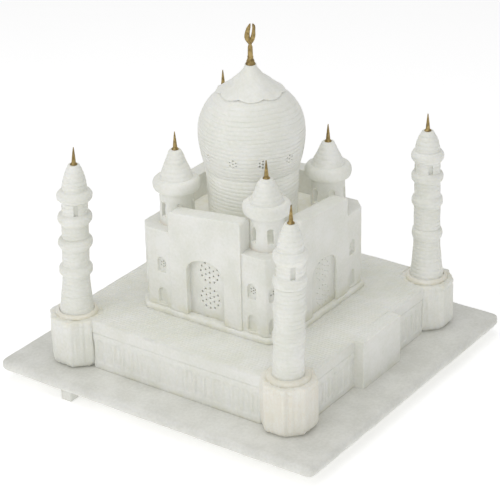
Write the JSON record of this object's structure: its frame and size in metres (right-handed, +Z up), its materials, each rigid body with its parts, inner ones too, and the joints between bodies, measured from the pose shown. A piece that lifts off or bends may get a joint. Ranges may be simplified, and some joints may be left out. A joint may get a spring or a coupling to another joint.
{
  "type": "miniature domed monument",
  "caption": "Carved stone model of a domed hall on a square terrace, with corner minarets that lift out of their sockets and brass spires.",
  "frame": {"origin": "centre of the marble slab in plan, at the underside of the feet", "axes": "+Z up; the front, with the stair bay, faces -Y; the left side faces -X"},
  "size_m": [0.293, 0.305, 0.2925],
  "materials": {
    "alabaster": "hand-carved white alabaster, waxy and slightly translucent, with tool marks and yellowed glue at the joints",
    "slab_marble": "sawn and rubbed greyish white marble with faint clouding",
    "brass": "aged turned brass, brownish"
  },
  "bodies": {
    "model": {"base_slab": "slab_marble", "foot_front_left": "slab_marble", "foot_front_right": "slab_marble", "foot_back_right": "slab_marble", "foot_back_left": "slab_marble", "terrace_deck": "alabaster", "terrace_wall_front": "alabaster", "terrace_wall_right": "alabaster", "terrace_wall_back": "alabaster", "terrace_wall_left": "alabaster", "stair_bay": "alabaster", "tower_base_front_left": "alabaster", "tower_base_front_right": "alabaster", "tower_base_back_right": "alabaster", "tower_base_back_left": "alabaster", "collar_front_left": "alabaster", "collar_front_right": "alabaster", "collar_back_right": "alabaster", "collar_back_left": "alabaster", "hall_step": "alabaster", "hall_corner_front_left": "alabaster", "hall_corner_front_right": "alabaster", "hall_corner_back_right": "alabaster", "hall_corner_back_left": "alabaster", "portal_front": "alabaster", "portal_right": "alabaster", "portal_back": "alabaster", "portal_left": "alabaster", "jali_front": "alabaster", "jali_right": "alabaster", "jali_back": "alabaster", "jali_left": "alabaster", "hall_roof": "alabaster", "kiosk_front_left": "alabaster", "kiosk_front_right": "alabaster", "kiosk_back_right": "alabaster", "kiosk_back_left": "alabaster", "kiosk_dome_front_left": "alabaster", "kiosk_dome_front_right": "alabaster", "kiosk_dome_back_right": "alabaster", "kiosk_dome_back_left": "alabaster", "drum": "alabaster", "dome": "alabaster", "lotus_cap": "alabaster", "kiosk_spire_front_left": "brass", "kiosk_spire_front_right": "brass", "kiosk_spire_back_right": "brass", "kiosk_spire_back_left": "brass", "crown_base": "brass", "crown_crescent": "brass"},
    "minaret_front_left": {"minaret_front_left": "alabaster", "minaret_spire_front_left": "brass"},
    "minaret_front_right": {"minaret_front_right": "alabaster", "minaret_spire_front_right": "brass"},
    "minaret_back_right": {"minaret_back_right": "alabaster", "minaret_spire_back_right": "brass"},
    "minaret_back_left": {"minaret_back_left": "alabaster", "minaret_spire_back_left": "brass"}
  },
  "joints": [
    {"name": "minaret_lift_front_left", "type": "slide", "parent": "model", "child": "minaret_front_left", "axis": [0, 0, 1], "range_m": [0, 0.03]},
    {"name": "minaret_lift_front_right", "type": "slide", "parent": "model", "child": "minaret_front_right", "axis": [0, 0, 1], "range_m": [0, 0.03]},
    {"name": "minaret_lift_back_right", "type": "slide", "parent": "model", "child": "minaret_back_right", "axis": [0, 0, 1], "range_m": [0, 0.03]},
    {"name": "minaret_lift_back_left", "type": "slide", "parent": "model", "child": "minaret_back_left", "axis": [0, 0, 1], "range_m": [0, 0.03]}
  ]
}
